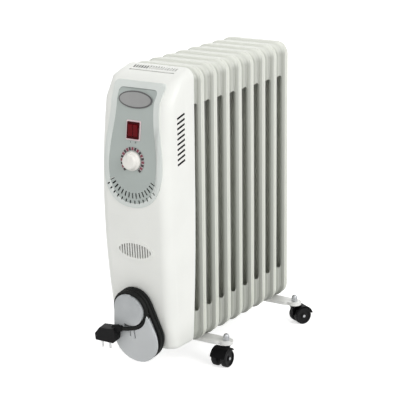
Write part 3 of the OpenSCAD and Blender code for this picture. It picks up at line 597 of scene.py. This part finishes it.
finished = {  # node: material, smoothing angle, width of its softened edges
    "vent_grille": ("caseWhite", 40, 0),
    "switch_bezel": ("bezelPale", 40, 0.4),
    "switch_body": ("switchRed", 40, 0.3),
    "rocker_left": ("rockerRed", 40, 0.3),
    "rocker_right": ("rockerRed", 40, 0.3),
    "dial_ring": ("dialRing", 40, 0),
    "knob": ("knobIvory", 35, 0.4),
    "winder_base": ("winderGrey", 35, 0),
    "winder_plate": ("winderGrey", 35, 0.5),
    "cord_gland": ("blackPlastic", 40, 0.3),
    "plug_body": ("blackPlastic", 40, 1.2),
    "front_foot": ("footEnamel", 40, 0.8),
    "rear_foot": ("footEnamel", 40, 0.8),
    "dome_nuts": ("zincSteel", 30, 0),
    "fin_1": ("finEnamel", 35, 0),
    "fin_8": ("finEnamel", 35, 0),
}
for number in range(1, 5):
    finished[f"caster_hood_{number}"] = ("casterBlack", 35, 0.5)
    for letter in "ab":
        finished[f"caster_wheel_{number}{letter}"] = ("tyreBlack", 35, 0)

finishedPieces = {node: finishNode(node, *finish) for node, finish in finished.items()}
lengthOf(leadRoute)
print("finished copies:", len(finished))


# The six like fins between the first and the last
def stackFins(first, last):
    form = Former("finStack", {"Fins": last - first + 1, "Pitch": fin["pitch"]})
    row = form.add("GeometryNodeMeshLine", sockets={"Count": form.size("Fins"),
                                                    "Offset": form.vector(y=form.size("Pitch"))})
    stack = form.onPoints(row, Wire(form, form.given.outputs["Shape"]))
    mesh = form.plainMesh(stack, "finEnamel", wholeMesh(f"fin_{first}"))
    smoothSkin(mesh, 35)
    addPiece("finStack", mesh, "radiator", slotOf["fin_2"], *[f"fin_{n}" for n in range(first, last + 1)])


stackFins(2, 7)
print("fin stack made")


# Housing, control panel and bare oval plate, each in two tones; the housing's second tone is painted shade
# on its inner skin and slot walls
panel = {"top": 0.598, "foot": 0.3701, "belly": (0.445, 0.057), "pinch": (0.570, 0.044), "collar": 0.005,
         "whole": 0.610, "oval": 2.3, "flare": 1.5}


def fieldHalfWidth(height):  # inner field of the panel: an oval foot, then a waist, then a slight flare
    (bellyHeight, belly), (pinchHeight, pinch) = panel["belly"], panel["pinch"]
    low = min(1, max(0, (bellyHeight - height) / (bellyHeight - panel["foot"])))
    rise = min(1, max(0, (height - bellyHeight) / (pinchHeight - bellyHeight)))
    flare = max(0, (height - pinchHeight) / (panel["whole"] - pinchHeight))
    oval = (1 - low ** panel["oval"]) ** (1 / panel["oval"])
    return (belly * oval - (belly - pinch) * (1 - math.cos(math.pi * rise)) / 2
            + panel["collar"] * flare ** panel["flare"])


def inField(place, facing):
    return panel["foot"] < place.z < panel["top"] and abs(place.x) < fieldHalfWidth(place.z) - 0.0002


badge = {"box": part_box("badge_oval"), "ring": 0.0028}
shell = {"box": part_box("front_cover"), "ends": 0.06, "core": 0.026, "top": 0.03,
         "walls": 0.25, "skinOnly": -0.3}


def inOval(place, facing):  # raised middle of the oval plate
    low, high = badge["box"]
    middle, half = (low + high) / 2, (high - low) / 2
    across = (place.x - middle.x) / (half.x - badge["ring"])
    up = (place.z - middle.z) / (half.z - badge["ring"])
    return across ** 2 + up ** 2 < 1


# these faces get the housing's painted shade
def insideCase(place, facing):  # inner skin, and below the top the walls of the slots through it
    low, high = shell["box"]
    height = min(high.z - shell["ends"], max(low.z + shell["ends"], place.z))
    middle = Vector((0, high.y - shell["core"], height))
    limit = shell["walls"] if place.z < high.z - shell["top"] else shell["skinOnly"]
    return (place - middle).normalized().dot(facing) < limit


def twoTone(node, outer, inner, isInner, angle):
    mesh = wholeMesh(node, outer, inner, isSecond=isInner)
    smoothSkin(mesh, angle)
    addPiece(node + "Finished", mesh, "radiator", slotOf[node], node)


twoTone("front_cover", "caseWhite", "caseInside", insideCase, 32)
twoTone("control_panel", "panelEdge", "panelField", inField, 32)
twoTone("badge_oval", "badgeRing", "badgeFace", inOval, 40)
print("housing, panel and oval plate made")


# Printed marks: dashes round the thermostat and bars under the switch
case = {"depth": 0.1005, "crown": 0.377, "bowAbove": 1.1, "field": 0.0012}
dial = {"height": 0.456, "print": 0.00185, "radius": 0.0250, "spread": 270, "marks": 19,
        "dash": (0.0062, 0.0050, 0.0005)}
switch = {"height": 0.517, "below": 0.0235, "apart": 0.006, "bar": (0.0009, 0.0034, 0.0002),
          "pitch": 0.0018}


def onFront(height, out):  # frame of something drawn flat on the upper front: z outwards, y up
    rise = height - case["crown"]
    lean = math.asin(rise / case["bowAbove"])
    skin = caseRear - case["depth"] + case["bowAbove"] * (1 - math.cos(lean))
    up, away = Vector((0, math.sin(lean), math.cos(lean))), Vector((0, -math.cos(lean), math.sin(lean)))
    turn = Matrix((Vector((1, 0, 0)), up, away)).transposed().to_4x4()
    return Matrix.Translation(Vector((0, skin, height)) + away * out) @ turn


def dashRing(name, material, first):  # every second mark of the ring, in one colour
    start, turn = (90 + dial["spread"] / 2), dial["spread"] / (dial["marks"] - 1)
    form = Former(name, {"Marks": (dial["marks"] - first + 1) // 2, "Radius": dial["radius"],
                         "Start": math.radians(start - first * turn), "Step": -math.radians(2 * turn)})
    row = form.add("GeometryNodeMeshLine", sockets={"Count": form.size("Marks")})
    angle = form.add("GeometryNodeInputIndex") * form.size("Step") + form.size("Start")
    place = form.vector(angle.cosine() * form.size("Radius"), angle.sine() * form.size("Radius"))
    ring = form.add("GeometryNodeSetPosition", sockets={"Geometry": row, "Position": place})
    dash = form.add("GeometryNodeMeshCube", sockets={"Size": dial["dash"]})
    mesh = form.plainMesh(form.onPoints(ring, dash, form.vector(z=angle)), material)
    mesh.transform(onFront(dial["height"], dial["print"]))
    addPiece(name, mesh, "radiator", "dial_print")


def barRow(name, bars, across):
    form = Former(name, {"Bars": bars, "Pitch": switch["pitch"]})
    row = form.add("GeometryNodeMeshLine", sockets={"Count": form.size("Bars"),
                                                    "Offset": form.vector(x=form.size("Pitch"))})
    bar = form.add("GeometryNodeMeshCube", sockets={"Size": switch["bar"]})
    mesh = form.plainMesh(form.onPoints(row, bar), "tickDark")
    aside = Matrix.Translation((across - (bars - 1) * switch["pitch"] / 2, 0, 0))
    mesh.transform(onFront(switch["height"] - switch["below"], case["field"]) @ aside)
    addPiece(name, mesh, "radiator", "dial_print")


dashRing("dialMarksDark", "tickDark", 0)
dashRing("dialMarksRed", "tickRed", 1)
barRow("switchMarkOne", 1, -switch["apart"])
barRow("switchMarkTwo", 2, switch["apart"])
print("printed marks made")


# CAD solids that are shown as they are
plain = {"plug_pins": "pinNickel", "thermostat": "ceramicTan", "terminal_block": "ceramicTan",
         "thermal_cutout": "blackPlastic", "back_plate": "footEnamel"}
for node, piece in nodes.items():
    if not piece.hide_render:
        for slot in piece.material_slots:
            slot.material = palette[plain.get(node, "zincSteel")]
